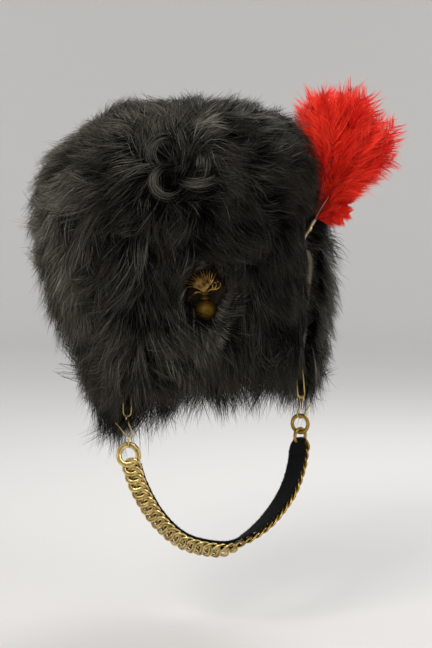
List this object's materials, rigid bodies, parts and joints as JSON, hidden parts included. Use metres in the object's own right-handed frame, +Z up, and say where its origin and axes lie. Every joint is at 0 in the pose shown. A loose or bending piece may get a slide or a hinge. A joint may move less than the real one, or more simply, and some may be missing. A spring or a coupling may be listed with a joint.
{
  "type": "fur parade cap with plume",
  "caption": "Tall long-haired fur parade cap with a side feather plume, a flaming grenade badge and a metal curb chin chain on a backing strap.",
  "frame": {"origin": "centre of the head opening in the plane of the rim, where the cap sits on a head", "axes": "+Z up as worn, -Y to the front, +X to the wearer's left, where the plume is; the cap itself is tipped 5 degrees to the wearer's right"},
  "size_m": [0.3711, 0.311, 0.4801],
  "materials": {
    "black_fur": "long glossy black hair with brown and grey glints",
    "hide": "matte dark hide",
    "bare_hide": "matte grey olive skin",
    "black_leather": "satin black",
    "black_backing": "black velvet over leather",
    "red_feather": "soft dyed feather",
    "quill": "pale horn",
    "bright_brass": "polished, tarnished in the hollows",
    "aged_brass": "aged, brown in the hollows"
  },
  "bodies": {
    "root": {"cap_shell": "hide", "headband": "black_leather", "fur_front": "black_fur", "fur_back": "black_fur", "seam_strip": "bare_hide", "plume_socket": "black_leather", "plume_ferrule": "aged_brass", "plume_stem": "quill", "plume_upper": "red_feather", "plume_outer": "red_feather", "plume_lower": "red_feather", "grenade_badge": "aged_brass", "loop_right": "aged_brass", "hook_right": "bright_brass", "loop_left": "aged_brass", "hook_left": "aged_brass", "wire_link": "bright_brass", "ring_upper": "aged_brass", "ring_lower": "aged_brass", "end_ring": "bright_brass", "chain_strap": "black_backing", "chain_link_01": "bright_brass", "chain_link_02": "bright_brass", "chain_link_03": "bright_brass", "chain_link_04": "bright_brass", "chain_link_05": "bright_brass", "chain_link_06": "bright_brass", "chain_link_07": "bright_brass", "chain_link_08": "bright_brass", "chain_link_09": "bright_brass", "chain_link_10": "bright_brass", "chain_link_11": "bright_brass", "chain_link_12": "bright_brass", "chain_link_13": "bright_brass", "chain_link_14": "bright_brass", "chain_link_15": "bright_brass", "chain_link_16": "bright_brass", "chain_link_17": "bright_brass", "chain_link_18": "bright_brass", "chain_link_19": "bright_brass", "chain_link_20": "bright_brass", "chain_link_21": "bright_brass", "chain_link_22": "bright_brass", "chain_link_23": "bright_brass", "chain_link_24": "bright_brass", "chain_link_25": "bright_brass", "chain_link_26": "bright_brass", "chain_link_27": "bright_brass", "chain_link_28": "bright_brass", "chain_link_29": "bright_brass", "chain_link_30": "bright_brass", "chain_link_31": "bright_brass", "chain_link_32": "bright_brass", "chain_link_33": "bright_brass", "chain_link_34": "bright_brass"}
  },
  "joints": []
}
